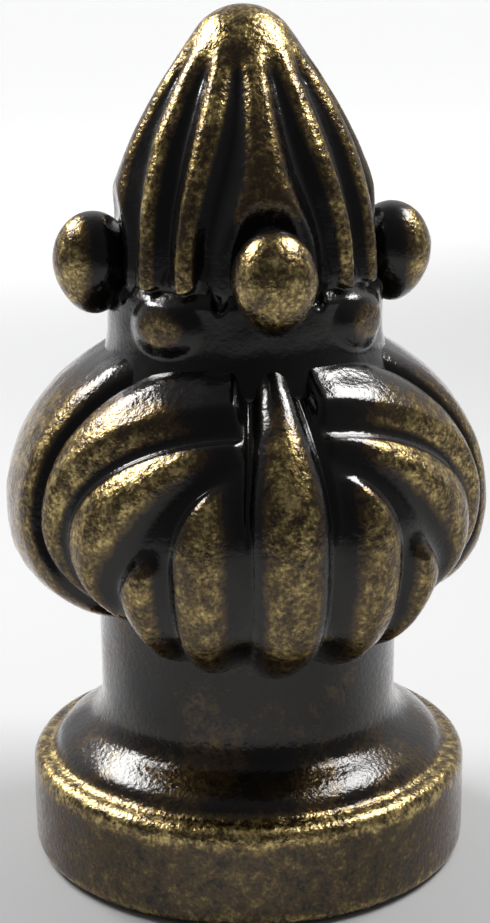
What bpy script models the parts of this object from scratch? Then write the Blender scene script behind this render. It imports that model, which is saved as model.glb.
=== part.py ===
"""A small cast finial that screws onto the top of a lamp harp and holds the shade down.

It is one casting: a round foot with a tapped hole in its underside, a neck, a melon-shaped bulb carved with
ribs that sweep out from a stem at the front and at the back, and a fluted cone with beads round it.
Lengths are in millimetres and angles in degrees. +Z is up, and the front stem faces -Y.
"""

import math

import bmesh
import bpy
import numpy as np

MM = 0.001

# Overall height, from the seat to the tip
HEIGHT = 38.1

# Foot: a drum with rounded edges, and a shoulder that rolls in to the neck
FOOT_RADIUS = 10.0
FOOT_EDGE = 0.55
DRUM_HEIGHT = 4.7
RIM_EDGE = 0.65
SHOULDER_INSET = 0.95
SHOULDER_LIFT = 0.2
SHOULDER_RISE = 2.4
NECK_RADIUS = 6.75
NECK_SINK = 0.6

# Bulb: round above its equator, squarer below it, and hanging lower at the front and back than at the sides
BULB_RADIUS = 10.8
EQUATOR_HEIGHT = 16.65
BULB_RISE = 8.46
DROP_FRONT = 7.4
DROP_SIDE = 5.3
DROP_SQUARENESS = 2.6
DROP_TURN = (24.0, 58.0)

# Cone: a collar that stands on the bulb, a bowed flank and a round tip
COLLAR_RADIUS = 5.95
COLLAR_HEIGHT = 3.4
CONE_RADIUS = 6.15
CONE_OVERHANG = 0.25
TIP_RADIUS = 2.45
FLANK_LEAN = 36.0
FLANK_BOW = 0.4

# Beads round the cone, each an egg standing on end in its own pocket
BEAD_COUNT = 4
BEAD_RISE = 0.5
BEAD_PROUD = 2.3
BEAD_RADIAL = 1.75
BEAD_ACROSS = 1.78
BEAD_UPRIGHT = 2.15

# Tapped hole for the harp's stud, cut at the diameter of its thread's roots
BORE_RADIUS = 3.2
BORE_DEPTH = 9.5
BORE_CHAMFER = 0.4
DRILL_POINT = 59.0

# Stem, and the ribs beside it: where each rib's outer edge leaves the stem and is widest (degrees above the
# equator), how far round the bulb it gets there and at the neck, and how square its turn is
STEM_WIDTH = 9.5
LOBE_EDGE = {"leaves": 26.0, "widest": -3.0, "reach": 28.5, "foot": 29.0, "turn": 2.0}
LOWER_EDGE = {"leaves": 27.0, "widest": -18.0, "reach": 43.0, "foot": 42.0, "turn": 1.5}
MIDDLE_EDGE = {"leaves": 36.5, "widest": 0.5, "reach": 55.0, "foot": 49.0, "turn": 2.0}
UPPER_EDGE = {"leaves": 65.0, "widest": 9.0, "reach": 67.5, "foot": 55.0, "turn": 2.6}
LITTLE_LOBE_TOP = 2.0
LITTLE_LOBE_SLOPE = 9.0
RIB_DEPTH = 0.8
RIB_SHOULDER = 1.35

# Flutes on the cone: angles from a bead, at the top and at the foot of the flutes
FLUTE_ANGLES = (16.0, 26.0)
FLUTE_DEPTH = 0.6
FLUTE_SHOULDER = 0.9
FLUTE_RUNOUT = 1.6
POCKET_TOP = 4.6
POCKET_ANGLE = 20.0
BUMP_HEIGHT = 0.35
BUMP_LIFT = 1.9
BUMP_ANGLE = 15.0
BUMP_UPRIGHT = 1.0

# Facets: the carving is worked out finely, then thinned to the number given here
FOOT_SIDES = 60
CARVED_COLUMNS = 240
LOW_ROWS = 36
HIGH_ROWS = 36
COLLAR_ROWS = 10
FLANK_ROWS = 48
TIP_ROWS = 8
CARVED_FACETS = 6400
BEAD_SEGMENTS = 16
BEAD_RINGS = 10
BORE_SIDES = 24

# Antique brass, as the bare casting looks without its worn edges
BRASS_COLOUR = (0.16, 0.11, 0.05, 1.0)
BRASS_ROUGHNESS = 0.32


def clear_scene():
    for thing in list(bpy.data.objects):
        bpy.data.objects.remove(thing)


def antique_brass():
    material = bpy.data.materials.new("antique_brass")
    material.use_nodes = True
    shader = material.node_tree.nodes["Principled BSDF"]
    shader.inputs["Base Color"].default_value = BRASS_COLOUR
    shader.inputs["Roughness"].default_value = BRASS_ROUGHNESS
    shader.inputs["Metallic"].default_value = 1.0
    return material


def ease(t):
    """Smooth step from 0 to 1."""
    t = np.clip(t, 0.0, 1.0)
    return t * t * (3.0 - 2.0 * t)


def arc(centre, radius, start, end, steps):
    """Points (radius, height) on an arc in the turning plane, from one angle to the other."""
    angles = np.radians(np.linspace(start, end, steps))
    return np.column_stack([centre[0] + radius * np.cos(angles), centre[1] + radius * np.sin(angles)])


def bezier(corners, steps):
    """Points on a cubic curve, both ends included."""
    t = np.linspace(0.0, 1.0, steps)[:, None]
    p0, p1, p2, p3 = (np.array(corner, float) for corner in corners)
    return (1 - t) ** 3 * p0 + 3 * t * (1 - t) ** 2 * p1 + 3 * t**2 * (1 - t) * p2 + t**3 * p3


def foot_outline():
    """Drum, shoulder and neck, from the seat up into the bulb."""
    lower = arc((FOOT_RADIUS - FOOT_EDGE, FOOT_EDGE), FOOT_EDGE, -90.0, 0.0, 4)
    upper = arc((FOOT_RADIUS - RIM_EDGE, DRUM_HEIGHT - RIM_EDGE), RIM_EDGE, 0.0, 75.0, 4)
    start = (FOOT_RADIUS - SHOULDER_INSET, DRUM_HEIGHT + SHOULDER_LIFT)
    end = (NECK_RADIUS, DRUM_HEIGHT + SHOULDER_RISE)
    middle = 0.5 * (start[0] + end[0])
    shoulder = bezier((start, (middle, start[1] + 0.5), (NECK_RADIUS, end[1] - 1.2), end), 6)
    return np.vstack([lower, upper, shoulder, [(NECK_RADIUS, neck_top())]])


def neck_top():
    """Height inside the bulb where the neck's own solid stops, over its lowest hem and under its equator."""
    return EQUATOR_HEIGHT - 0.5 * DROP_SIDE


def cone_base():
    """Height of the foot of the flutes, where the cone overhangs its collar."""
    return collar_bottom() + COLLAR_HEIGHT


def collar_bottom():
    """Height at which the bulb has closed in to the collar."""
    return EQUATOR_HEIGHT + BULB_RISE * math.sin(high_latitude())


def high_latitude():
    return math.acos(COLLAR_RADIUS / BULB_RADIUS)


def cone_outline():
    """Collar, flank and tip, up to the last ring below the tip's own point."""
    lean = math.radians(FLANK_LEAN)
    tip_centre = HEIGHT - TIP_RADIUS
    low = (CONE_RADIUS, cone_base())
    top = (TIP_RADIUS * math.cos(lean), tip_centre + TIP_RADIUS * math.sin(lean))
    pull = FLANK_BOW * (top[1] - low[1])
    heights = collar_bottom() + COLLAR_HEIGHT * np.linspace(0.0, 1.0, COLLAR_ROWS + 2)[1:-1]
    collar = np.column_stack([np.full(COLLAR_ROWS, COLLAR_RADIUS), heights])
    bowed = ((low[0], low[1] + pull), (top[0] + pull * math.sin(lean), top[1] - pull * math.cos(lean)))
    flank = bezier((low, bowed[0], bowed[1], top), FLANK_ROWS)
    tip = arc((0.0, tip_centre), TIP_RADIUS, FLANK_LEAN, 90.0, TIP_ROWS + 2)[1:-1]
    return np.vstack([collar, flank, tip])


def bulb_grid(azimuth):
    """Radius, height and latitude of the bulb's rows, which hang lower at the front than at the sides."""
    sunk = (NECK_RADIUS - NECK_SINK) / BULB_RADIUS
    lowest = math.asin((1.0 - sunk**DROP_SQUARENESS) ** (1.0 / DROP_SQUARENESS))
    latitude = np.concatenate([
        np.linspace(-lowest, 0.0, LOW_ROWS, endpoint=False),
        np.linspace(0.0, high_latitude(), HIGH_ROWS),
    ])[:, None]
    rise = np.sin(latitude)
    side = ease((from_stem(azimuth) - DROP_TURN[0]) / (DROP_TURN[1] - DROP_TURN[0]))
    drop = DROP_FRONT + (DROP_SIDE - DROP_FRONT) * side
    below = np.abs(np.minimum(rise, 0.0)) ** DROP_SQUARENESS
    narrow = np.where(rise < 0.0, (1.0 - below) ** (1.0 / DROP_SQUARENESS), np.cos(latitude))
    radius = BULB_RADIUS * narrow + 0.0 * drop
    height = EQUATOR_HEIGHT + rise * np.where(rise < 0.0, drop, BULB_RISE)
    return radius, height, np.degrees(latitude) + 0.0 * drop


def from_stem(azimuth):
    """Angle from the nearer of the two stems, 0 to 90."""
    return 90.0 - np.abs(90.0 - np.mod(azimuth, 180.0))


def edge_angle(edge, latitude, lowest):
    """Angle from the stem of one rib's outer edge: a quarter of an oval down to its widest place, then a
    gentle return to its foot at the neck."""
    above = np.clip((latitude - edge["widest"]) / (edge["leaves"] - edge["widest"]), 0.0, 1.0)
    out = (1.0 - above ** edge["turn"]) ** (1.0 / edge["turn"])
    back = ease((edge["widest"] - latitude) / (0.8 * (edge["widest"] - lowest)))
    upper = STEM_WIDTH + (edge["reach"] - STEM_WIDTH) * out
    return upper - (edge["reach"] - edge["foot"]) * back


def distance_to_edge(angle, line, radius, latitude):
    """Distance in millimetres from a point on the bulb to a carved line, square to the line."""
    slope = np.gradient(line, axis=0) / np.gradient(latitude, axis=0)
    across = np.radians(np.abs(angle - line)) * radius
    return across / np.sqrt(1.0 + (slope * radius / BULB_RADIUS) ** 2)


def rounded(distance, shoulder):
    """0 at a carved line and 1 from the shoulder on, with a round crest between."""
    t = np.clip(distance / shoulder, 0.0, 1.0)
    return (1.0 - (1.0 - t) ** 2) ** 0.75


def bulb_relief(azimuth, radius, latitude):
    """Depth of the carving on the bulb: a groove along the stem and along each rib's edge."""
    angle = from_stem(azimuth) + 0.0 * latitude
    lowest = float(latitude.min())
    lines = [edge_angle(edge, latitude, lowest) for edge in (LOBE_EDGE, LOWER_EDGE, MIDDLE_EDGE, UPPER_EDGE)]
    distance = np.radians(np.abs(angle - STEM_WIDTH)) * radius
    for line in lines:
        to_line = distance_to_edge(angle, line, radius, latitude)
        distance = np.where(angle > STEM_WIDTH, np.minimum(distance, to_line), distance)
    crest = rounded(distance, RIB_SHOULDER)
    between = (angle > lines[0]) & (angle < lines[1])
    little_lobe = ease((LITTLE_LOBE_TOP - latitude) / LITTLE_LOBE_SLOPE)
    crest = np.where(between, crest * little_lobe, crest)
    return RIB_DEPTH * (crest - 1.0)


def from_bead(azimuth):
    """Angle from the nearest bead, 0 to half a bead's share of the turn."""
    share = 360.0 / BEAD_COUNT
    return 0.5 * share - np.abs(0.5 * share - np.mod(azimuth, share))


def cone_relief(azimuth, radius, height):
    """Depth of the flutes and of the beads' pockets, and the bumps on the collar between the beads."""
    angle = from_bead(azimuth) + 0.0 * height
    half_share = 180.0 / BEAD_COUNT
    foot = cone_base()
    down = ease((HEIGHT - TIP_RADIUS - height) / (HEIGHT - TIP_RADIUS - foot))
    flute = FLUTE_ANGLES[0] + (FLUTE_ANGLES[1] - FLUTE_ANGLES[0]) * down
    distance = np.radians(np.minimum(np.abs(angle - flute), half_share - angle)) * radius
    runout = ease((HEIGHT - 0.5 * TIP_RADIUS - height) / FLUTE_RUNOUT)
    pocket = POCKET_ANGLE * ease((foot + POCKET_TOP - height) / (0.5 * POCKET_TOP))
    crest = rounded(distance, FLUTE_SHOULDER) * (1.0 - ease((pocket - angle) / 6.0 + 0.5) * (pocket > 1.0))
    flutes = FLUTE_DEPTH * (crest - 1.0) * runout
    middle = collar_bottom() + BUMP_LIFT
    swell = 1.0 - ((angle - half_share) / BUMP_ANGLE) ** 2 - ((height - middle) / BUMP_UPRIGHT) ** 2
    bumps = BUMP_HEIGHT * np.sqrt(np.clip(swell, 0.0, 1.0))
    return np.where(height < foot - 0.5 * CONE_OVERHANG, bumps, flutes)


def spread(outline, azimuth):
    """Repeat a turned outline round the whole turn, as grids of radius and height."""
    ones = np.ones_like(azimuth)[None, :]
    return outline[:, :1] * ones, outline[:, 1:] * ones


def outward(points):
    """Unit vectors square to a grid of points that closes round the turn."""
    along = np.roll(points, -1, axis=1) - np.roll(points, 1, axis=1)
    up = np.gradient(points, axis=0)
    normal = np.cross(along, up)
    return normal / np.linalg.norm(normal, axis=2, keepdims=True)


def carved_points():
    """Grid of points on the bulb and the cone, rows from the hem up and columns round from the front."""
    azimuth = np.arange(CARVED_COLUMNS) * 360.0 / CARVED_COLUMNS
    bulb_radius, bulb_height, latitude = bulb_grid(azimuth)
    cone_radius, cone_height = spread(cone_outline(), azimuth)
    radius = np.vstack([bulb_radius, cone_radius])
    height = np.vstack([bulb_height, cone_height])
    turn = np.radians(azimuth)
    points = np.dstack([radius * np.sin(turn), -radius * np.cos(turn), height])
    relief = np.vstack([
        bulb_relief(azimuth, bulb_radius, latitude),
        cone_relief(azimuth, cone_radius, cone_height),
    ])
    return points + relief[:, :, None] * outward(points)


def add_object(name, mesh, material):
    thing = bpy.data.objects.new(name, mesh)
    bpy.context.scene.collection.objects.link(thing)
    if material is not None:
        mesh.materials.append(material)
    return thing


def ringed_mesh(name, points, bottom, top):
    """Closed skin over a grid of rings: quads between the rings, and a fan to a point at each end."""
    count = points.shape[1]
    mesh = bpy.data.meshes.new(name)
    shape = bmesh.new()
    rings = [[shape.verts.new(point * MM) for point in row] for row in points]
    low_end, high_end = (shape.verts.new((0.0, 0.0, height * MM)) for height in (bottom, top))
    for column in range(count):
        after = (column + 1) % count
        for low, high in zip(rings, rings[1:]):
            shape.faces.new((low[column], low[after], high[after], high[column]))
        shape.faces.new((rings[0][after], rings[0][column], low_end))
        shape.faces.new((rings[-1][column], rings[-1][after], high_end))
    shape.to_mesh(mesh)
    shape.free()
    mesh.shade_smooth()
    mesh.set_sharp_from_angle(angle=math.radians(50.0))
    return mesh


def foot_mesh():
    """Turned foot and neck."""
    outline = foot_outline()
    azimuth = np.arange(FOOT_SIDES) * 360.0 / FOOT_SIDES
    radius, height = spread(outline, azimuth)
    turn = np.radians(azimuth)
    points = np.dstack([radius * np.sin(turn), -radius * np.cos(turn), height])
    return ringed_mesh("finial", points, outline[0, 1], outline[-1, 1])


def cutter(name, mesh):
    """A helper that shapes the casting and is no part of it."""
    thing = add_object(name, mesh, None)
    thing.hide_render = True
    thing.display_type = "WIRE"
    return thing


def carved_tool():
    """Bulb and cone, closed inside the neck below, with their facets thinned where the surface is even."""
    points = carved_points()
    tool = cutter("carved_tool", ringed_mesh("carved", points, neck_top(), HEIGHT))
    triangles = 2 * points.shape[0] * points.shape[1]
    thin = tool.modifiers.new("thin", "DECIMATE")
    thin.ratio = CARVED_FACETS / triangles
    return tool


def bead_tool(index):
    """One egg-shaped bead, sunk in the cone's flank."""
    mesh = bpy.data.meshes.new("bead")
    shape = bmesh.new()
    bmesh.ops.create_uvsphere(shape, u_segments=BEAD_SEGMENTS, v_segments=BEAD_RINGS, radius=1.0)
    turn = math.radians(index * 360.0 / BEAD_COUNT)
    out = CONE_RADIUS + BEAD_PROUD - BEAD_RADIAL
    middle = cone_base() + BEAD_RISE
    for vertex in shape.verts:
        across = vertex.co.x * BEAD_ACROSS
        radial = out + vertex.co.y * BEAD_RADIAL
        vertex.co = (
            MM * (radial * math.sin(turn) + across * math.cos(turn)),
            MM * (-radial * math.cos(turn) + across * math.sin(turn)),
            MM * (middle + vertex.co.z * BEAD_UPRIGHT),
        )
    bmesh.ops.recalc_face_normals(shape, faces=shape.faces)
    shape.to_mesh(mesh)
    shape.free()
    mesh.shade_smooth()
    return cutter(f"bead_tool_{index}", mesh)


def bore_tool():
    """Drill and countersink in one: a chamfered mouth, a straight wall and a drill point."""
    point = BORE_RADIUS / math.tan(math.radians(DRILL_POINT))
    mouth = BORE_RADIUS + BORE_CHAMFER
    outline = [
        (mouth + BORE_CHAMFER, -BORE_CHAMFER),
        (BORE_RADIUS, BORE_CHAMFER),
        (BORE_RADIUS, BORE_DEPTH),
        (0.0, BORE_DEPTH + point),
    ]
    mesh = bpy.data.meshes.new("bore")
    shape = bmesh.new()
    corners = [shape.verts.new((radius * MM, 0.0, height * MM)) for radius, height in outline]
    edges = [shape.edges.new(pair) for pair in zip(corners, corners[1:])]
    bmesh.ops.spin(
        shape, geom=corners + edges, axis=(0.0, 0.0, 1.0), cent=(0.0, 0.0, 0.0),
        angle=math.tau, steps=BORE_SIDES, use_merge=True,
    )
    bmesh.ops.remove_doubles(shape, verts=shape.verts, dist=0.01 * MM)
    bmesh.ops.holes_fill(shape, edges=shape.edges, sides=BORE_SIDES)
    bmesh.ops.recalc_face_normals(shape, faces=shape.faces)
    shape.to_mesh(mesh)
    shape.free()
    return cutter("bore_tool", mesh)


def combine(thing, tool, operation):
    modifier = thing.modifiers.new(tool.name, "BOOLEAN")
    modifier.operation = operation
    modifier.solver = "EXACT"
    modifier.object = tool


def build():
    clear_scene()
    finial = add_object("finial", foot_mesh(), antique_brass())
    combine(finial, carved_tool(), "UNION")
    for index in range(BEAD_COUNT):
        combine(finial, bead_tool(index), "UNION")
    combine(finial, bore_tool(), "DIFFERENCE")


build()
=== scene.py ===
"""Looks of a small antique-brass lamp finial, dressed over the frame of its solid.

The sections follow the casting from its seat to its tip: foot and neck, thread, bulb, cone, beads, and then
the table, lights and camera. Lengths are in millimetres and angles in degrees until a mesh is made. Angles
round the axis count from the front. Wear runs from 0, where the patina is whole, to 1, where it is gone.
On the bulb, beside the stems and under the cone, it is also held low as painted shade.
"""

import bpy
import numpy as np
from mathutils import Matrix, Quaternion, Vector


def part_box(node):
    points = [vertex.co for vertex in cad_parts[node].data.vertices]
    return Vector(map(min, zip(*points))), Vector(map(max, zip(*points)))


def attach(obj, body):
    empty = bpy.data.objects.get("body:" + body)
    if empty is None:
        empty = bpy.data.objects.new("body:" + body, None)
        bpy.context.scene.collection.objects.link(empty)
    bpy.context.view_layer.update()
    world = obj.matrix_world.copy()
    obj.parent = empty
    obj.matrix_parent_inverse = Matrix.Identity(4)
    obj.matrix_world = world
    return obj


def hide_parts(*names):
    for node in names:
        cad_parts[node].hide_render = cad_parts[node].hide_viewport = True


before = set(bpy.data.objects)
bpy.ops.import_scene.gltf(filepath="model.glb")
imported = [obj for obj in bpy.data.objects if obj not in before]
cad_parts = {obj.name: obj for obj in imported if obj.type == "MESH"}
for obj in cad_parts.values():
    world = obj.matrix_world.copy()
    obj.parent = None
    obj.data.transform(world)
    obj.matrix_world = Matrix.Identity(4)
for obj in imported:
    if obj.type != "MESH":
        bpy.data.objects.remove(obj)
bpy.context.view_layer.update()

# Foot and neck: the turned lower part of the casting, a round drum with a shoulder that rolls in to the
# neck. Zinc or brass, cast and turned clean, with a drilled and countersunk hole in its flat seat.
# The neck runs on into the bulb, because the two are one casting.
MM = 0.001
SOLID_LOW, SOLID_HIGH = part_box("finial")
SEAT = SOLID_LOW[2] / MM
TIP = SOLID_HIGH[2] / MM
FOOT_RADIUS = 10.0
SEAT_ROUND = (0.8, 0.55)
RIM_ROUND = (0.55, 0.62)
DRUM_TOP = 4.67
SHOULDER_OUT = (8.92, 4.9)
SHOULDER_IN = (7.5, 6.0)
NECK_RADIUS = 6.75
NECK_FOOT = 7.6
NECK_INSIDE = 13.6
BORE_RADIUS = 3.2
BORE_MOUTH = 3.6
BORE_CHAMFER = 0.4
BORE_DEPTH = 9.5
DRILL_POINT = 1.9
AXIS_GAP = 0.05
FOOT_UNEVEN = 0.012
FOOT_COLUMNS = 288
FOOT_ROWS = 190
RIM_WEAR = 0.74
BOTTOM_WEAR = 0.68
WALL_WEAR = 0.42
SHOULDER_WEAR = 0.33
SEAT_WEAR = 0.45
BORE_WEAR = 0.8
PATINA = (
    (0.0, (0.003, 0.0027, 0.0025)),
    (0.20, (0.009, 0.006, 0.004)),
    (0.33, (0.046, 0.029, 0.011)),
    (0.50, (0.074, 0.048, 0.017)),
    (0.66, (0.160, 0.110, 0.036)),
    (0.85, (0.320, 0.236, 0.083)),
    (1.0, (0.600, 0.455, 0.180)),
)
PATINA_TINT = (0.45, 0.36, 0.25, 1.0)
FINE_GRAIN = dict(scale=5.6, detail=4.0, roughness=0.66, strength=1.3)
BROAD_GRAIN = dict(scale=1.5, detail=3.0, roughness=0.6, strength=1.3)
SMOOTHEST, ROUGHEST = 0.21, 0.38
LACQUER_ROUGHNESS = 0.045
LACQUER_IOR = 1.42
CRACKLE_DEPTH = 0.085


def ease(t):
    """Smooth step: 3t squared less 2t cubed, held between 0 and 1."""
    t = np.clip(t, 0.0, 1.0)
    return t * t * (3.0 - 2.0 * t)


def arc(centre, reach, start, end, steps=24):
    """Points (radius, height) round an ellipse's centre, from one angle to the other."""
    turn = np.radians(np.linspace(start, end, steps))
    return np.column_stack([centre[0] + reach[0] * np.cos(turn), centre[1] + reach[1] * np.sin(turn)])


def bow(corners, steps=40):
    """Cubic curve from the first corner to the last, pulled by the two between them."""
    t = np.linspace(0.0, 1.0, steps)[:, None]
    p0, p1, p2, p3 = np.array(corners, float)
    return (1 - t) ** 3 * p0 + 3 * t * (1 - t) ** 2 * p1 + 3 * t**2 * (1 - t) * p2 + t**3 * p3


def even(outline, rows):
    """The same outline with its points at even steps of its own length."""
    length = np.r_[0.0, np.cumsum(np.hypot(*np.diff(outline, axis=0).T))]
    steps = np.linspace(0.0, length[-1], rows)
    return np.column_stack([np.interp(steps, length, across) for across in outline.T])


def rings(outline, turn):
    """Radius, height and azimuth over a grid: the outline's points up the rows, the turn along each row."""
    azimuth, radius = np.meshgrid(turn, outline[:, 0])
    height = np.meshgrid(turn, outline[:, 1])[1]
    return radius, height, azimuth


def turned(radius, height, azimuth):
    """Grid of points: the radius swung round the axis by the azimuth, 0 facing the front, at its height."""
    turn = np.radians(azimuth)
    return np.dstack([radius * np.sin(turn), -radius * np.cos(turn), height])


def outward(points):
    """Unit normals of a grid that closes round the turn: along its rows crossed with up its columns."""
    along = np.roll(points, -1, axis=1) - np.roll(points, 1, axis=1)
    up = np.gradient(points, axis=0)
    normal = np.cross(along, up)
    return normal / np.maximum(np.linalg.norm(normal, axis=2, keepdims=True), 1e-9)


def ripple(points, size, seed):
    """Smooth unevenness of a hand-finished pattern, about -1 to 1: nine crossed waves of nearly one size."""
    chance = np.random.default_rng(seed)
    total = np.zeros(points.shape[:2])
    for _ in range(9):
        aim = chance.normal(size=3)
        aim *= chance.uniform(0.6, 1.5) * 2.0 * np.pi / (size * np.linalg.norm(aim))
        total += np.sin(points @ aim + chance.uniform(0.0, 2.0 * np.pi))
    return total / 4.5


def on_axis(low, high):
    """The two points of the axis at these heights."""
    return np.array([[0.0, 0.0, low], [0.0, 0.0, high]])


def skin(name, points, rubbed, poles):
    """Closed mesh over a grid of rings taken in order, with a fan from the first and last ring to its pole.

    rubbed is kept at each point: 0 where the patina is whole and 1 where it is worn through to the brass.
    On the bulb it is also held low beside the stems under the cone, as painted shade.
    """
    rows, columns = points.shape[:2]
    number = np.arange(rows * columns).reshape(rows, columns)
    after = np.roll(number, -1, axis=1)
    quads = np.stack([number[:-1], after[:-1], after[1:], number[1:]], axis=-1).reshape(-1, 4)
    low, high = rows * columns, rows * columns + 1
    low_fan = np.column_stack([after[0], number[0], np.full(columns, low)])
    high_fan = np.column_stack([number[-1], after[-1], np.full(columns, high)])
    places = np.vstack([points.reshape(-1, 3), poles]) * MM
    mesh = bpy.data.meshes.new(name)
    mesh.from_pydata(places, [], quads.tolist() + low_fan.tolist() + high_fan.tolist())
    mesh.shade_smooth()
    worn = np.r_[rubbed.ravel(), rubbed[0].mean(), rubbed[-1].mean()].astype(np.float32)
    mesh.attributes.new("rubbed", "FLOAT", "POINT").data.foreach_set("value", worn)
    piece = bpy.data.objects.new(name, mesh)
    bpy.context.scene.collection.objects.link(piece)
    return piece


def link(nodes, source, target):
    """Join one node's output to another's input."""
    nodes.id_data.links.new(source, target)


def add_noise(nodes, scale, detail, roughness=0.6):
    """Noise over the piece's own place, with scale in grains to the millimetre."""
    noise = nodes.new("ShaderNodeTexNoise")
    noise.inputs["Scale"].default_value = scale / MM
    noise.inputs["Detail"].default_value = detail
    noise.inputs["Roughness"].default_value = roughness
    link(nodes, nodes["Place"].outputs["Object"], noise.inputs["Vector"])
    return noise.outputs["Fac"]


def add_math(nodes, operation, first, second):
    """Sum, difference or product of two values, each a number or another node's output."""
    node = nodes.new("ShaderNodeMath")
    node.operation = operation
    for socket, value in zip(node.inputs, (first, second)):
        if isinstance(value, (int, float)):
            socket.default_value = value
        else:
            link(nodes, value, socket)
    return node.outputs["Value"]


def add_grain(nodes, scale, detail, roughness, strength):
    """Noise on both sides of zero: the noise less a half, times the strength."""
    level = add_math(nodes, "SUBTRACT", add_noise(nodes, scale, detail, roughness), 0.5)
    return add_math(nodes, "MULTIPLY", level, strength)


def add_ramp(nodes, source, stops):
    """Colours blended evenly from stop to stop."""
    ramp = nodes.new("ShaderNodeValToRGB")
    elements = ramp.color_ramp.elements
    while len(elements) < len(stops):
        elements.new(0.5)
    for element, (place, colour) in zip(elements, stops):
        element.position = place
        element.color = (*colour, 1.0)
    link(nodes, source, ramp.inputs["Fac"])
    return ramp.outputs["Color"]


def grey(level):
    """A colour with the same red, green and blue."""
    return (level, level, level)


def antique_brass(name):
    """Brass under a black-brown patina that is rubbed through in grains, all sealed under clear lacquer.

    The wear plus two sizes of noise, stronger where there is more wear, picks the colour along the patina.
    """
    material = bpy.data.materials.new(name)
    material.use_nodes = True
    nodes = material.node_tree.nodes
    shader = nodes["Principled BSDF"]
    place = nodes.new("ShaderNodeTexCoord")
    place.name = "Place"
    attribute = nodes.new("ShaderNodeAttribute")
    attribute.attribute_name = "rubbed"
    rubbed = attribute.outputs["Fac"]
    fine = add_grain(nodes, **FINE_GRAIN)
    broad = add_grain(nodes, **BROAD_GRAIN)
    contrast = add_math(nodes, "ADD", add_math(nodes, "MULTIPLY", rubbed, 1.6), 0.05)
    mottle = add_math(nodes, "MULTIPLY", add_math(nodes, "ADD", fine, broad), contrast)
    through = add_math(nodes, "ADD", rubbed, mottle)
    link(nodes, add_ramp(nodes, through, PATINA), shader.inputs["Base Color"])
    metal = add_ramp(nodes, through, ((0.12, grey(0.0)), (0.45, grey(1.0))))
    link(nodes, metal, shader.inputs["Metallic"])
    matt = add_ramp(nodes, add_noise(nodes, 3.0, 2.0), ((0.3, grey(SMOOTHEST)), (0.7, grey(ROUGHEST))))
    link(nodes, matt, shader.inputs["Roughness"])
    shader.inputs["Specular IOR Level"].default_value = 0.12
    shader.inputs["Specular Tint"].default_value = PATINA_TINT
    shader.inputs["Coat Weight"].default_value = 1.0
    shader.inputs["Coat Roughness"].default_value = LACQUER_ROUGHNESS
    shader.inputs["Coat IOR"].default_value = LACQUER_IOR
    bump = nodes.new("ShaderNodeBump")
    bump.inputs["Strength"].default_value = 0.6
    bump.inputs["Distance"].default_value = CRACKLE_DEPTH * MM
    roughened = add_math(nodes, "ADD", add_math(nodes, "MULTIPLY", rubbed, 1.2), 0.3)
    crackle = add_math(nodes, "MULTIPLY", add_noise(nodes, 4.6, 3.0, 0.55), roughened)
    link(nodes, crackle, bump.inputs["Height"])
    link(nodes, bump.outputs["Normal"], shader.inputs["Normal"])
    link(nodes, bump.outputs["Normal"], shader.inputs["Coat Normal"])
    return material


def dress(piece, material):
    """Give a piece its finish and its place in the frame: it rides on the root and stands for the solid."""
    piece.data.materials.append(material)
    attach(piece, "root")
    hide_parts("finial")


def foot_outline():
    """Hole, seat, drum, rim, shoulder and neck, in order from the drill's point to the inside of the bulb."""
    bottom = (FOOT_RADIUS - SEAT_ROUND[0], SEAT_ROUND[1])
    rim = (FOOT_RADIUS - RIM_ROUND[0], DRUM_TOP - RIM_ROUND[1])
    return np.vstack([
        [(AXIS_GAP, BORE_DEPTH + DRILL_POINT), (BORE_RADIUS, BORE_DEPTH)],
        [(BORE_RADIUS, BORE_CHAMFER), (BORE_MOUTH, 0.0)],
        arc(bottom, SEAT_ROUND, -90.0, 0.0),
        arc(rim, RIM_ROUND, 0.0, 84.0),
        bow([(9.4, DRUM_TOP), (9.15, 4.68), (9.02, 4.72), SHOULDER_OUT]),
        bow([SHOULDER_OUT, (8.7, 5.38), (8.1, 5.66), SHOULDER_IN]),
        bow([SHOULDER_IN, (7.05, 6.27), (NECK_RADIUS, 6.75), (NECK_RADIUS, NECK_FOOT)]),
        [(NECK_RADIUS, NECK_INSIDE), (AXIS_GAP, NECK_INSIDE)],
    ])


def foot_wear(points):
    """The most of each place's own wear, eased in and out at its edges, with a little unevenness.

    Rim, bottom edge and hole are bare, the wall is brown, and the shoulder and neck are darker and patchy.
    """
    radius, height = np.hypot(points[..., 0], points[..., 1]), points[..., 2]
    rim = RIM_WEAR * ease((height - 3.45) / 0.5) * ease((radius - 8.86) / 0.15)
    bottom = BOTTOM_WEAR * np.exp(-(((height - 0.35) / 0.6) ** 2)) * ease((radius - 9.0) / 0.5)
    wall = WALL_WEAR * ease((radius - 9.85) / 0.1)
    patchy = SHOULDER_WEAR * (0.7 + 0.45 * ripple(points, 3.6, 17))
    shoulder = patchy * ease((height - 4.8) / 0.2) * (1.0 - 0.25 * ease((height - 6.0) / 1.0))
    seat = SEAT_WEAR * ease((9.0 - radius) / 0.3) * ease((0.1 - height) / 0.05)
    bore = BORE_WEAR * ease((4.5 - radius) / 0.5)
    return np.maximum.reduce([rim, bottom, wall, shoulder, seat, bore]) + 0.04 * ripple(points, 3.0, 11)


brass = antique_brass("antique_brass")
foot_turn = np.arange(FOOT_COLUMNS) * 360.0 / FOOT_COLUMNS
foot_points = turned(*rings(even(foot_outline(), FOOT_ROWS) + (0.0, SEAT), foot_turn))
foot_uneven = FOOT_UNEVEN * ripple(foot_points, 2.6, 3) * (foot_points[..., 2] > 0.3)
foot_points += foot_uneven[..., None] * outward(foot_points)
foot_poles = on_axis(BORE_DEPTH + DRILL_POINT + 0.02, NECK_INSIDE)
foot = skin("foot", foot_points, foot_wear(foot_points), foot_poles)
dress(foot, brass)

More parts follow.
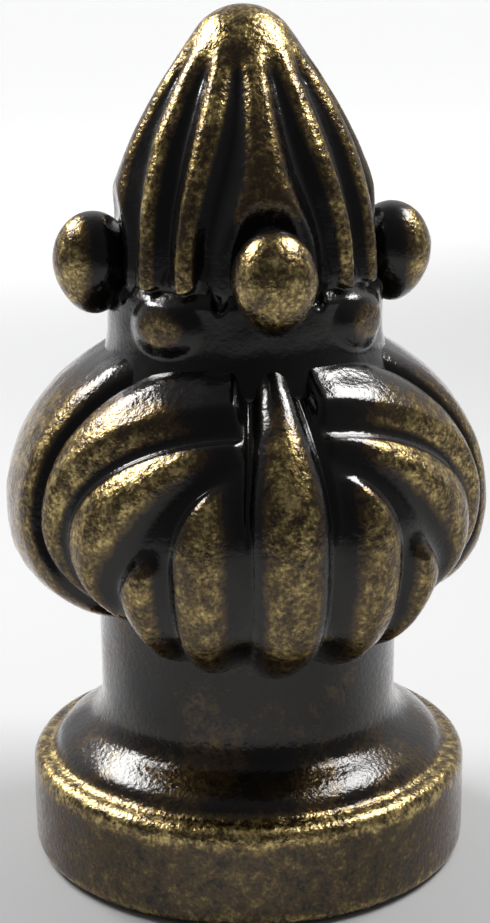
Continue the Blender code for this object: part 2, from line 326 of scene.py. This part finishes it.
# Thread: the 27-to-the-inch screw cut in the foot's hole for the harp's stud, left as bare cut metal.
# A ridge with flat flanks that winds up the hole's wall and fades out at both ends.
THREAD_PITCH = 25.4 / 27.0
THREAD_CREST = 2.78
THREAD_START = 0.9
THREAD_TURNS = 8.2
THREAD_STEPS = 56
THREAD_FADE = 150.0
THREAD_SUNK = 0.03
THREAD_FAINTEST = 0.02
CREST_HALF = 0.07
ROOT_HALF = 0.44
CUT_METAL = 0.85


def thread_ridge():
    """Closed tube of four corners carried up a helix: two sunk in the wall and two at the crest."""
    count = int(THREAD_TURNS * THREAD_STEPS)
    turn = np.linspace(0.0, THREAD_TURNS * 360.0, count)[:, None]
    height = THREAD_START + THREAD_PITCH * turn / 360.0
    fade = ease(np.minimum(turn, THREAD_TURNS * 360.0 - turn) / THREAD_FADE)
    depth = THREAD_FAINTEST + (BORE_RADIUS - THREAD_CREST) * fade
    radius = BORE_RADIUS + THREAD_SUNK - depth * np.array([[0.0, 1.0, 1.0, 0.0]])
    lift = THREAD_PITCH * np.array([[-ROOT_HALF, -CREST_HALF, CREST_HALF, ROOT_HALF]])
    return turned(radius, height + lift, turn + 0.0 * lift)


def tube(name, corners, rubbed):
    """Closed mesh over rings of corners carried along a path, with a flat face on each end and one wear."""
    count, sides = corners.shape[:2]
    number = np.arange(count * sides).reshape(count, sides)
    after = np.roll(number, -1, axis=1)
    quads = np.stack([number[:-1], number[1:], after[1:], after[:-1]], axis=-1).reshape(-1, 4)
    mesh = bpy.data.meshes.new(name)
    faces = quads.tolist() + [number[0].tolist(), number[-1][::-1].tolist()]
    mesh.from_pydata(corners.reshape(-1, 3) * MM, [], faces)
    worn = np.full(count * sides, rubbed, np.float32)
    mesh.attributes.new("rubbed", "FLOAT", "POINT").data.foreach_set("value", worn)
    piece = bpy.data.objects.new(name, mesh)
    bpy.context.scene.collection.objects.link(piece)
    return piece


thread = tube("thread", thread_ridge(), CUT_METAL)
dress(thread, brass)

# Bulb: the carved middle of the casting. A rounded stem runs down its front and another down its back. On
# each side of them a lobe, a little lobe and two ribs sweep out and under, each cut crisp along its outer
# edge, and a broad smooth rib lies under each side bead. The hollows hold the patina, the crests are rubbed.
# Beside the stems, above the equator and under the cone, the ribs and the stem are kept dark as painted
# shade.
BULB_RADIUS = 10.765
BULB_EQUATOR = 16.65
BULB_RISE = 8.46
BULB_TOP = 57.0
BULB_BOTTOM = -69.0
HEM_FRONT = 7.4
HEM_SIDE = 5.3
HEM_TURN = (24.0, 58.0)
HEM_SQUARENESS = 2.6
STEM_EDGE = 9.4
STEM_TAPER = 2.4
RIB_END = 11.2
LOBE_END = 10.2
LOBE = dict(leaves=25.0, widest=-3.0, reach=29.0, foot=29.0, turn=2.1, inner=1.9, outer=1.5, dark=0.85)
LITTLE_LOBE = dict(leaves=27.0, widest=-18.0, reach=43.0, foot=42.0, turn=1.5, inner=1.1, outer=1.1, dark=0.5)
LOWER_RIB = dict(leaves=36.5, widest=0.5, reach=57.5, foot=50.0, turn=2.0, inner=1.6, outer=1.6, dark=0.75)
UPPER_RIB = dict(leaves=65.0, widest=9.0, reach=69.0, foot=56.0, turn=2.6, inner=1.4, outer=1.6, dark=0.35)
LITTLE_TOP = 3.0
SIDE_ROUND = 1.2
END_WALL = 0.5
GAP_DEPTH = 0.3
CARVED_DEPTH = 0.64
BULB_UNEVEN = 0.02
BULB_INSIDE = (BULB_EQUATOR - HEM_SIDE + 1.6, BULB_EQUATOR + 7.8)
GROOVE_ROUND = 0.12
BULB_WEAR = 0.60
BULB_WEAR_MORE = 0.15
BULB_COLUMNS = 560
BULB_ROWS = 168


def bulb_base(angle, latitude):
    """Radius and height: round above the equator, a squarer curve below, hung lower near the stems."""
    rise = np.sin(np.radians(latitude))
    side = ease((angle - HEM_TURN[0]) / (HEM_TURN[1] - HEM_TURN[0]))
    drop = HEM_FRONT + (HEM_SIDE - HEM_FRONT) * side
    below = np.abs(np.minimum(rise, 0.0)) ** HEM_SQUARENESS
    narrow = np.where(rise < 0.0, (1.0 - below) ** (1.0 / HEM_SQUARENESS), np.cos(np.radians(latitude)))
    return BULB_RADIUS * narrow, BULB_EQUATOR + rise * np.where(rise < 0.0, drop, BULB_RISE)


def rib_edge(rib, latitude):
    """Angle of a rib's outer edge: part of an oval from the stem to its widest, then eased in to its foot."""
    above = np.clip((latitude - rib["widest"]) / (rib["leaves"] - rib["widest"]), 0.0, 1.0)
    out = (1.0 - above ** rib["turn"]) ** (1.0 / rib["turn"])
    back = ease((rib["widest"] - latitude) / (0.8 * (rib["widest"] - BULB_BOTTOM)))
    return RIB_END + (rib["reach"] - RIB_END) * out - (rib["reach"] - rib["foot"]) * back


def stem_edge(latitude):
    """Angle of the stem's edge: it narrows towards the cone."""
    return STEM_EDGE - STEM_TAPER * ease((latitude - 8.0) / 40.0)


def rib_end(latitude):
    """Angle where the ribs stop short of the stem: close beside it low down, and well off it higher up."""
    return LOBE_END + (RIB_END - LOBE_END) * ease((latitude + 5.0) / 20.0)


def distance_to_line(points, line):
    """Shortest distance from each point to a line of straight pieces, pieces taken one after another."""
    nearest = np.full(points.shape[:2], 1e9)
    for start, end in zip(line[:-1], line[1:]):
        along = end - start
        share = np.clip(((points - start) @ along) / (along @ along), 0.0, 1.0)
        nearest = np.minimum(nearest, np.linalg.norm(points - start - share[..., None] * along, axis=2))
    return nearest


def carved_line(angle_of, latitudes):
    """A carved line's points on the bulb, from its angle at each latitude."""
    angles = angle_of(latitudes)
    radius, height = bulb_base(angles, latitudes)
    return turned(radius[None, :], height[None, :], angles[None, :])[0]


def steep(distance, width):
    """Rises from 0 to 1 fast and then rounds over: 1 less the cube of what is left."""
    return 1.0 - (1.0 - np.clip(distance / width, 0.0, 1.0)) ** 3


def lip(distance, width):
    """Rises from 0 to 1: two fifths of it in a short steep wall, the rest in a quarter of a sine wave."""
    return 0.4 * steep(distance, 0.45) + 0.6 * np.sin(0.5 * np.pi * np.clip(distance / width, 0.0, 1.0))


def eased_groove(distance):
    """The distance to a cut, as the long side of a triangle less the short one: round at the cut's bottom."""
    return np.hypot(distance, GROOVE_ROUND) - GROOVE_ROUND


def bared(inner, inner_dark, outer):
    """How far a face is rubbed: not near the hollow on its inner side, and nearly up to its outer edge."""
    return ease((inner - 0.5 * inner_dark) / inner_dark) * ease((outer - 0.08) / 0.4)


def bulb_carving(points, angle, latitude):
    """Crest, 0 in the cuts to 1 on top, and how far it is rubbed, over one quarter of the bulb.

    A rib rises by ease from the cut on its inner side and by lip from the one along its outer edge, and
    the product of the two is its crest. The stem is round: 1 less the square of its share, to the power 0.7.
    """
    ribs = (LOBE, LITTLE_LOBE, LOWER_RIB, UPPER_RIB)
    edges, away = [], []
    for rib in ribs:
        steps = rib["leaves"] - (rib["leaves"] - BULB_BOTTOM) * np.linspace(0.0, 1.0, 90) ** 1.6
        edges.append(rib_edge(rib, latitude))
        line = carved_line(lambda lat, rib=rib: rib_edge(rib, lat), steps)
        away.append(eased_groove(distance_to_line(points, line)))
    ends = np.linspace(BULB_TOP, BULB_BOTTOM, 40)
    to_stem = distance_to_line(points, carved_line(stem_edge, ends))
    to_ends = eased_groove(distance_to_line(points, carved_line(rib_end, ends)))
    end_wall = steep(to_ends, END_WALL)
    little_top = ease((LITTLE_TOP - latitude) / 10.0)
    edge = stem_edge(latitude)
    gap = (angle >= edge) & (angle <= rib_end(latitude))
    across = np.clip((angle - edge) / (rib_end(latitude) - edge), 0.0, 1.0)
    stem_crest = np.clip(1.0 - (angle / edge) ** 2, 0.0, 1.0) ** 0.7
    gap_crest = -GAP_DEPTH * np.sin(np.pi * across) * ease((latitude - 2.0) / 12.0)
    crests, rubs = [stem_crest, gap_crest], [ease((to_stem - 0.15) / 0.7), 0.0 * angle]
    closed = (1.0, little_top, end_wall, end_wall)
    for rib, inner, outer, end in zip(ribs, [to_ends, *away], away, closed):
        crests.append(ease(inner / rib["inner"]) * lip(outer, rib["outer"]) * end)
        rubs.append(bared(inner, rib["dark"], outer) * end)
    zones = [angle < edge, gap] + [angle < line for line in edges]
    crest = np.select(zones, crests, lip(away[-1], SIDE_ROUND) * end_wall)
    rub = np.select(zones, rubs, ease((away[-1] - 0.1) / 0.4) * end_wall)
    return crest, rub


def bulb_wear_and_shade(angle, latitude, rub):
    """Wear: even under the equator and somewhat more above it, fading towards the cone and under the hem.

    Over the equator the ribs stay dark for a way beside the stem, longer the higher, and the stem fades too:
    this darkening is painted shade under the cone.
    """
    high = ease((58.0 - latitude) / 34.0)
    low = ease((latitude + 64.0) / 14.0)
    start = 9.0 + 0.7 * np.maximum(latitude - 22.0, 0.0)
    # Painted shade: the ribs beside the stem are kept dark over the equator, more the higher, under the cone.
    painted_shade_by_stem = 1.0 - ease((latitude - 10.0) / 14.0) * (1.0 - ease((angle - start) / 13.0))
    # Painted shade: the stem darkens towards the cone.
    painted_shade_by_stem = np.where(angle < 10.0, ease((74.0 - latitude) / 46.0), painted_shade_by_stem)
    return (BULB_WEAR + BULB_WEAR_MORE * ease((latitude + 5.0) / 25.0)) * rub * high * low * painted_shade_by_stem


def folded(turn, half):
    """The turn counted back and forth between 0 and half: a pattern and its mirror image, in turns."""
    return half - np.abs(half - np.mod(turn, 2.0 * half))


bulb_step = 360.0 / BULB_COLUMNS
quarter_turn, quarter_latitude = np.meshgrid(
    np.arange(BULB_COLUMNS // 4 + 1) * bulb_step, np.linspace(BULB_BOTTOM, BULB_TOP, BULB_ROWS)
)
quarter_radius, quarter_height = bulb_base(quarter_turn, quarter_latitude)
quarter_points = turned(quarter_radius, quarter_height, quarter_turn)
quarter_crest, quarter_rub = bulb_carving(quarter_points, quarter_turn, quarter_latitude)
# The bulb's rubbed values: wear, with the painted shade beside the stems.
quarter_wear_and_shade = bulb_wear_and_shade(quarter_turn, quarter_latitude, quarter_rub)
bulb_turn = np.arange(BULB_COLUMNS) * bulb_step
in_quarter = np.rint(folded(bulb_turn, 90.0) / bulb_step).astype(int)
bulb_radius, bulb_height = quarter_radius[:, in_quarter], quarter_height[:, in_quarter]
bulb_points = turned(bulb_radius, bulb_height, bulb_turn + 0.0 * bulb_radius)
bulb_crest = quarter_crest[:, in_quarter]
bulb_relief = CARVED_DEPTH * (bulb_crest - 1.0) + BULB_UNEVEN * ripple(bulb_points, 1.8, 5) * bulb_crest
bulb_points += bulb_relief[..., None] * outward(bulb_points)
bulb = skin("bulb", bulb_points, quarter_wear_and_shade[:, in_quarter], on_axis(*BULB_INSIDE))
dress(bulb, brass)

# Cone: the fluted top of the casting. Ridges run down from a smooth tip and end in rounded tongues that
# overhang a collar. One bump stands on the collar between each pair of beads, and the ridge over each bead
# parts round it.
CONE_COLLAR = 6.05
CONE_RADIUS = 6.17
SKIRT_FLARE = 0.5
SKIRT_LOW = 21.7
COLLAR_LOW = 22.6
COLLAR_HIGH = 26.2
TIP_RADIUS = 2.45
FLANK_LEAN = 36.0
FLUTE_FOOT = 26.9
FLUTE_TOP = 36.35
FLUTE_CUT = 0.62
FLUTE_ANGLES = (15.0, 26.0)
INNER_FLANK = 1.45
OUTER_FLANK = 1.1
FORK_TOP = 30.0
POCKET_HALF = 17.5
POCKET_LOW = 24.3
BEAD_HEIGHT = 27.45
BUMP_ANGLE = 45.0
BUMP_HEIGHT = 25.2
BUMP_HALF = (13.5, 1.0)
BUMP_PROUD = 0.42
OVERHANG = 0.45
CONE_UNEVEN = 0.015
CONE_WEAR = 0.68
TIP_WEAR = 0.74
BUMP_WEAR = 0.5
CREST_DARK = 0.5
CONE_COLUMNS = 480
CONE_ROWS = 190


def cone_outline():
    """Skirt in the bulb, collar, overhang, bowed flank and round tip."""
    lean = np.radians(FLANK_LEAN)
    centre = TIP - TIP_RADIUS
    top = np.array([TIP_RADIUS * np.cos(lean), centre + TIP_RADIUS * np.sin(lean)])
    pull = 0.4 * (top[1] - FLUTE_FOOT)
    return np.vstack([
        [(CONE_COLLAR + SKIRT_FLARE, SKIRT_LOW)],
        bow([(CONE_COLLAR + SKIRT_FLARE, COLLAR_LOW), (CONE_COLLAR + 0.3, COLLAR_LOW + 0.75),
             (CONE_COLLAR, COLLAR_LOW + 0.9), (CONE_COLLAR, COLLAR_LOW + 2.0)], 16),
        bow([(CONE_COLLAR, COLLAR_HIGH), (CONE_COLLAR, 26.5),
             (CONE_RADIUS, 26.4), (CONE_RADIUS, FLUTE_FOOT)]),
        bow([(CONE_RADIUS, FLUTE_FOOT), (CONE_RADIUS, FLUTE_FOOT + pull),
             (top[0] + pull * np.sin(lean), top[1] - pull * np.cos(lean)), top]),
        arc((0.0, centre), (TIP_RADIUS, TIP_RADIUS), FLANK_LEAN, 89.0),
    ])


def flute_angle(height):
    """The cut beside the ridge over a bead: close to the ridge's middle at the top, eased out to its foot."""
    return FLUTE_ANGLES[0] + (FLUTE_ANGLES[1] - FLUTE_ANGLES[0]) * ease((34.5 - height) / 6.5)


def pocket_angle(height):
    """Inner edge of the parted ridge: half an oval from the fork to the bead's middle, then upright."""
    risen = np.clip((height - BEAD_HEIGHT) / (FORK_TOP - BEAD_HEIGHT), 0.0, 1.0)
    return POCKET_HALF * np.sqrt(1.0 - risen**2) * ease((height - POCKET_LOW) / 1.2)


def cone_line(profile, angle_of, low, high):
    """A carved line's points on the cone, from its angle at each height."""
    heights = np.linspace(low, high, 60)
    radius = np.interp(heights, profile[:, 1], profile[:, 0])
    return turned(radius[None, :], heights[None, :], angle_of(heights)[None, :])[0]


def cone_carving(profile, points, angle, height):
    """Crest, 0 in the flutes to 1 on the ridges, the tongues' hang and the bump, over one eighth of the cone.

    A ridge rises by ease from the flute on each side, over a width that follows the radius up to a limit. The
    hang is 1 below the tongues' rounded ends, and the bump is an oval swell halfway between two beads.
    """
    flute = distance_to_line(points, cone_line(profile, flute_angle, 26.3, FLUTE_TOP))
    middle = distance_to_line(points, cone_line(profile, lambda z: 45.0 + 0.0 * z, 26.3, FLUTE_TOP))
    fork = distance_to_line(points, cone_line(profile, pocket_angle, 24.6, FORK_TOP))
    inner = angle < flute_angle(height)
    pocket = angle < pocket_angle(height)
    radius = np.hypot(points[..., 0], points[..., 1])
    inner_half = np.minimum(0.8 * radius * np.radians(flute_angle(height)), INNER_FLANK)
    outer_half = np.minimum(0.45 * radius * np.radians(45.0 - flute_angle(height)), OUTER_FLANK)
    crest = np.where(inner, ease(flute / inner_half), ease(flute / outer_half) * ease(middle / outer_half))
    runout = ease((FLUTE_TOP + 0.4 - height) / 1.6)
    crest = 1.0 - (1.0 - crest) * runout * (0.5 + 0.5 * ease((FLUTE_TOP - height) / 6.0))
    parted = 0.25 + 0.75 * ease((np.where(pocket, -fork, fork) + 0.5) / 1.3)
    crest = np.where(inner, crest * parted, crest)
    inner_tongue = 26.2 + np.minimum(0.03 * (angle - 20.5) ** 2, 0.8)
    outer_tongue = 26.75 + 0.012 * (angle - 36.5) ** 2
    hang = ease((np.where(inner, inner_tongue, outer_tongue) - height) / 0.3)
    off_bump = ((angle - BUMP_ANGLE) / BUMP_HALF[0]) ** 2 + ((height - BUMP_HEIGHT) / BUMP_HALF[1]) ** 2
    return crest, hang, ease(1.0 - 0.5 * off_bump)


def cone_wear(crest, hang, bump, angle, height, points):
    """Wear: the ridges' tops, less over a bead, then the bumps and the whole tip, whichever is most."""
    over_bead = ease((17.0 - angle) / 8.0) * ease((33.5 - height) / 3.0)
    ridges = CONE_WEAR * ease((crest - CREST_DARK) / 0.3) * (1.0 - hang)
    ridges *= (1.0 - 0.35 * over_bead) * (0.92 + 0.16 * ripple(points, 3.4, 23))
    bumps = BUMP_WEAR * ease((bump - 0.6) / 0.35)
    tip = TIP_WEAR * ease((height - 35.6) / 1.2)
    return np.maximum.reduce([ridges, bumps, tip])


cone_step = 360.0 / CONE_COLUMNS
cone_profile = even(cone_outline(), CONE_ROWS)
eighth_radius, eighth_height, eighth_turn = rings(cone_profile, np.arange(CONE_COLUMNS // 8 + 1) * cone_step)
eighth_points = turned(eighth_radius, eighth_height, eighth_turn)
eighth_carving = cone_carving(cone_profile, eighth_points, eighth_turn, eighth_height)
cone_turn = np.arange(CONE_COLUMNS) * cone_step
from_bead = folded(cone_turn, 45.0)
in_eighth = np.rint(from_bead / cone_step).astype(int)
cone_crest, cone_hang, cone_bump = (part[:, in_eighth] for part in eighth_carving)
cone_radius, cone_height, cone_azimuth = rings(cone_profile, cone_turn)
cone_points = turned(cone_radius, cone_height, cone_azimuth)
cone_worn = cone_wear(cone_crest, cone_hang, cone_bump, from_bead[None, :], cone_height, cone_points)
over_collar = ease((cone_height - COLLAR_HIGH) / 0.4)
cone_relief = FLUTE_CUT * (cone_crest - 1.0) * (1.0 - cone_hang) - OVERHANG * cone_hang * over_collar
cone_relief += BUMP_PROUD * cone_bump + CONE_UNEVEN * ripple(cone_points, 1.6, 7)
cone_points += cone_relief[..., None] * outward(cone_points)
cone = skin("cone", cone_points, cone_worn, on_axis(SKIRT_LOW, TIP))
dress(cone, brass)

# Beads: four round drops cast on the cone, one to each quarter, rubbed bright on their outer half.
# The front one is over the front stem. Each is a little taller than it is wide, and drawn in below.
BEAD_OUT = 6.62
BEAD_ACROSS = 1.78
BEAD_PROUD = 1.76
BEAD_UP = 2.1
BEAD_DOWN = 2.35
BEAD_DRAWN_IN = 0.10
BEAD_WEAR = 0.69
BEAD_UNEVEN = 0.012
BEAD_COLUMNS = 88
BEAD_ROWS = 60
BEADS = 4


def bead_points(turn):
    """Egg: rings of a sphere stretched up and down by different amounts and drawn in towards its foot."""
    latitude = np.radians(np.linspace(-88.0, 88.0, BEAD_ROWS))[:, None]
    azimuth = np.radians(np.arange(BEAD_COLUMNS) * 360.0 / BEAD_COLUMNS)[None, :]
    ring = np.cos(latitude) * (1.0 - BEAD_DRAWN_IN * ease(-np.sin(latitude)))
    across = BEAD_ACROSS * ring * np.sin(azimuth)
    out = BEAD_OUT + BEAD_PROUD * ring * np.cos(azimuth)
    height = BEAD_HEIGHT + np.where(latitude > 0.0, BEAD_UP, BEAD_DOWN) * np.sin(latitude) + 0.0 * azimuth
    side, front = np.sin(np.radians(turn)), np.cos(np.radians(turn))
    return np.dstack([out * side + across * front, -out * front + across * side, height])


for number in range(BEADS):
    drop = bead_points(number * 360.0 / BEADS)
    outer = np.hypot(drop[..., 0], drop[..., 1])
    drop += BEAD_UNEVEN * ripple(drop, 1.4, 9)[..., None] * outward(drop)
    worn = BEAD_WEAR * ease((outer - BEAD_OUT - 0.05) / 0.9) * ease((drop[..., 2] - BEAD_HEIGHT + 2.2) / 0.8)
    bead = skin(f"bead_{number + 1}", drop, worn, drop[[0, -1]].mean(axis=1))
    dress(bead, brass)

# Table: a broad flat sheet of pale matt paper that the finial stands on, far wider than the picture.
# It belongs to the setting and not to the finial.
TABLE_SIZE = 6000.0
PAPER_GREY = 0.48
PAPER_ROUGHNESS = 0.9


def table():
    """One square face at the seat's height."""
    half = TABLE_SIZE * MM / 2.0
    mesh = bpy.data.meshes.new("table")
    corners = [(-half, -half, 0.0), (half, -half, 0.0), (half, half, 0.0), (-half, half, 0.0)]
    mesh.from_pydata(corners, [], [(0, 1, 2, 3)])
    sheet = bpy.data.objects.new("table", mesh)
    bpy.context.scene.collection.objects.link(sheet)
    material = bpy.data.materials.new("pale_paper")
    material.use_nodes = True
    shader = material.node_tree.nodes["Principled BSDF"]
    shader.inputs["Base Color"].default_value = (*grey(PAPER_GREY), 1.0)
    shader.inputs["Roughness"].default_value = PAPER_ROUGHNESS
    mesh.materials.append(material)
    return sheet


table()

# Light: a pale tent with its opening at the front, where the room behind the camera is dim. Two soft boxes
# stand above, to the left and to the right, and a wide lamp behind the finial shines straight down, in a
# narrow beam that falls on the table there.
CAMERA_TURN = -10.5
CAMERA_RISE = 16.0
TENT = (
    (0.0, (0.45, 0.45, 0.46)),
    (0.12, (0.50, 0.50, 0.51)),
    (0.28, (0.66, 0.66, 0.67)),
    (0.48, (0.25, 0.25, 0.26)),
    (1.0, (0.10, 0.10, 0.11)),
)
BOX_DISTANCE = 160.0
MIDDLE = np.array([0.0, 0.0, 20.0])
BEHIND = 520.0


def aim(turn, rise):
    """Unit vector away from the object, at an angle round from the front and an angle up."""
    turn, rise = np.radians(turn), np.radians(rise)
    return np.array([np.sin(turn) * np.cos(rise), -np.cos(turn) * np.cos(rise), np.sin(rise)])


def tent():
    """Pale cloth behind and to the sides, a dim room in front: a grey for each angle off the view's line."""
    world = bpy.data.worlds.new("tent")
    bpy.context.scene.world = world
    world.use_nodes = True
    nodes = world.node_tree.nodes
    place = nodes.new("ShaderNodeTexCoord")
    toward = nodes.new("ShaderNodeVectorMath")
    toward.operation = "DOT_PRODUCT"
    toward.inputs[1].default_value = aim(CAMERA_TURN, CAMERA_RISE)
    link(nodes, place.outputs["Generated"], toward.inputs[0])
    share = add_math(nodes, "ADD", add_math(nodes, "MULTIPLY", toward.outputs["Value"], 0.5), 0.5)
    link(nodes, add_ramp(nodes, share, TENT), nodes["Background"].inputs["Color"])


def soft_box(name, place, target, size, glow, spread=180.0):
    """Rectangular lamp at a place, facing its target; its glow is how bright it looks, where 1 is white."""
    lamp = bpy.data.lights.new(name, "AREA")
    lamp.shape = "RECTANGLE"
    lamp.size, lamp.size_y = size[0] * MM, size[1] * MM
    lamp.energy = glow * np.pi * lamp.size * lamp.size_y
    lamp.spread = np.radians(spread)
    box = bpy.data.objects.new(name, lamp)
    box.location = np.array(place) * MM
    box.rotation_euler = Vector(np.array(place) - np.array(target)).to_track_quat("Z", "Y").to_euler()
    bpy.context.scene.collection.objects.link(box)


tent()
soft_box("left_box", MIDDLE + BOX_DISTANCE * aim(-130.0, 44.0), MIDDLE, (88.0, 48.0), 24.0)
soft_box("right_box", MIDDLE + BOX_DISTANCE * aim(96.0, 54.0), MIDDLE, (84.0, 50.0), 22.0)
soft_box("back_box", (0.0, BEHIND, 150.0), (0.0, BEHIND, 0.0), (900.0, 760.0), 1.7, 60.0)

# Camera: close and a little above, turned so that the front stem stands right of the middle, and aimed just
# under half the finial's height.
CAMERA_DISTANCE = 87.75
CAMERA_TARGET = 18.0
CAMERA_LENS = 76.06
CAMERA_SENSOR = 36.0
CAMERA_ROLL = 0.5
CAMERA_SHIFT = -0.0012


def take_place():
    """Set the camera on its line of sight, turned back along it and rolled a little."""
    view = bpy.data.cameras.new("camera")
    view.lens = CAMERA_LENS
    view.sensor_width = CAMERA_SENSOR
    view.clip_start = 5.0 * MM
    view.shift_x = CAMERA_SHIFT
    camera = bpy.data.objects.new("camera", view)
    way = aim(CAMERA_TURN, CAMERA_RISE)
    camera.location = way * CAMERA_DISTANCE * MM + np.array([0.0, 0.0, CAMERA_TARGET * MM])
    level = Vector(way).to_track_quat("Z", "Y")
    camera.rotation_euler = (level @ Quaternion((0.0, 0.0, 1.0), -np.radians(CAMERA_ROLL))).to_euler()
    bpy.context.scene.collection.objects.link(camera)
    bpy.context.scene.camera = camera


take_place()
bpy.context.scene.view_settings.view_transform = "Standard"
